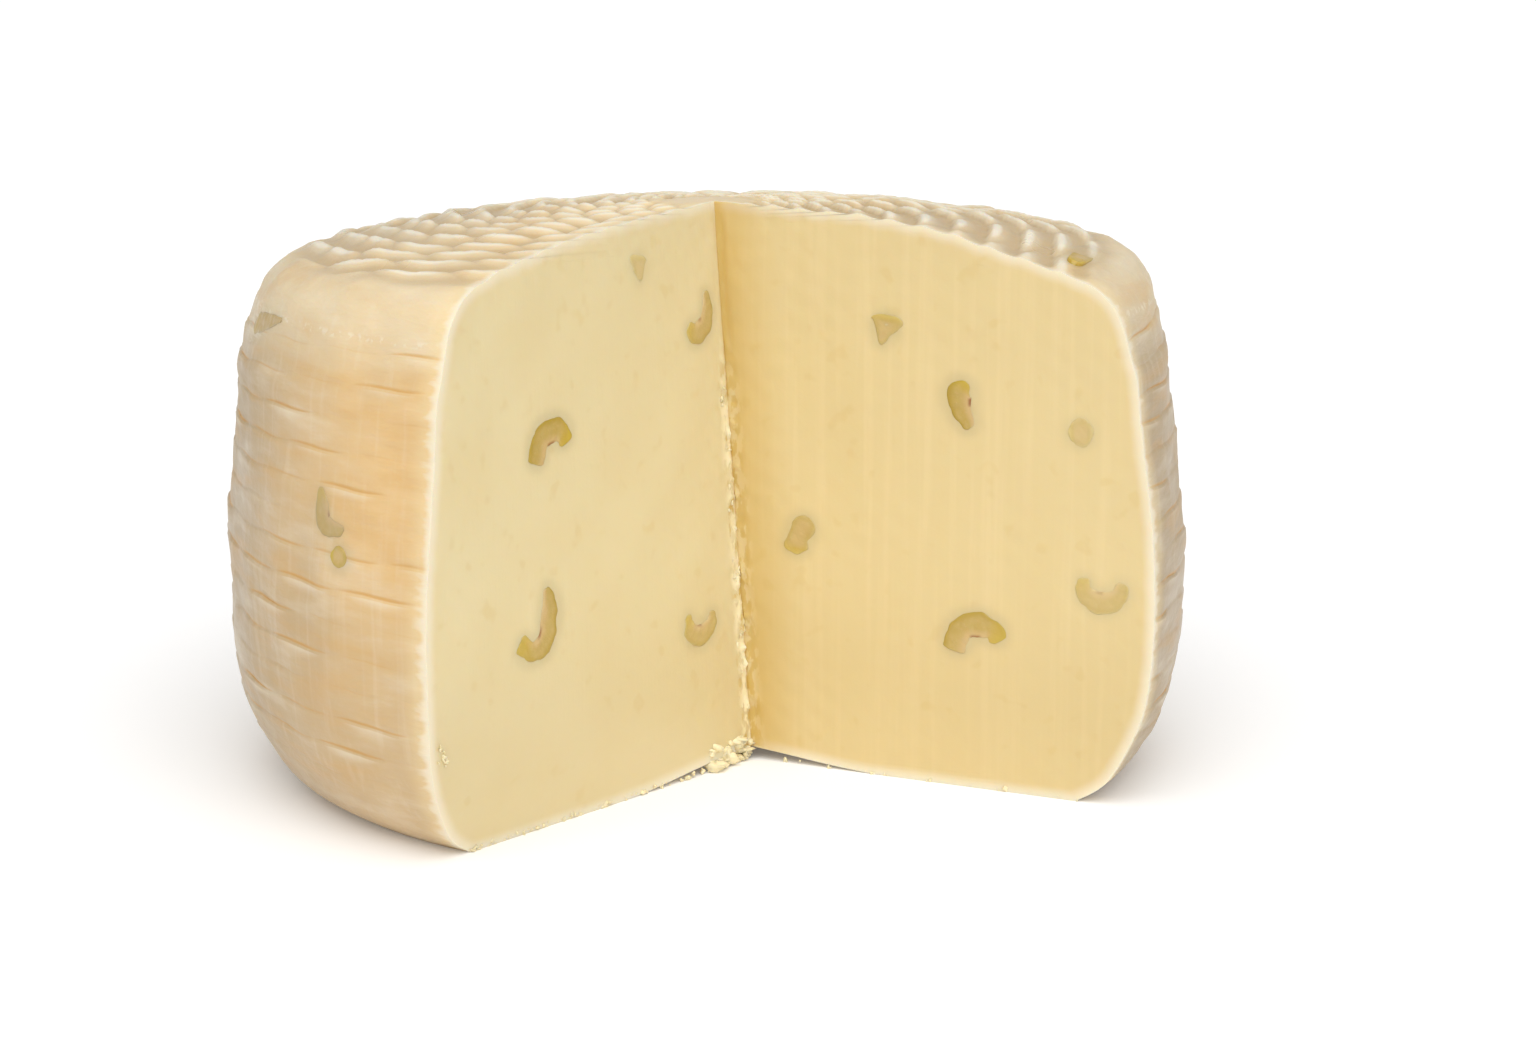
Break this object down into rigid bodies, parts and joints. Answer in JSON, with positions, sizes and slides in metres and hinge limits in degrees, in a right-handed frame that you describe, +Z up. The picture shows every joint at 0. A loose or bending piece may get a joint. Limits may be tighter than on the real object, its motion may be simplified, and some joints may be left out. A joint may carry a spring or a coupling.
{
  "type": "cheese wheel",
  "caption": "Round wheel of pale table cheese with a basket-woven rind, green olive pieces set in it and one wedge cut out, standing on its flat base.",
  "frame": {"origin": "middle of the wheel's box in X and Y, on the surface that the wheel stands on", "axes": "+Z up along the wheel's axis, -Y out of the notch towards the viewer, +X to the viewer's right"},
  "size_m": [0.2002, 0.1856, 0.118],
  "materials": {
    "cheese": "soft satin, slightly moist pale cheese",
    "olive": "moist green olive flesh"
  },
  "bodies": {
    "root": {"cheese_body": "cheese", "olive_left_1": "olive", "olive_left_2": "olive", "olive_left_3": "olive", "olive_left_4": "olive", "olive_left_5": "olive", "olive_right_1": "olive", "olive_right_2": "olive", "olive_right_3": "olive", "olive_right_4": "olive", "olive_right_5": "olive", "olive_right_6": "olive", "olive_rind_1": "olive", "olive_rind_2": "olive", "olive_rind_3": "olive", "olive_rind_4": "olive", "olive_rind_5": "olive", "olive_rind_6": "olive", "olive_rind_7": "olive", "olive_rind_8": "olive", "olive_rind_9": "olive"}
  },
  "joints": []
}
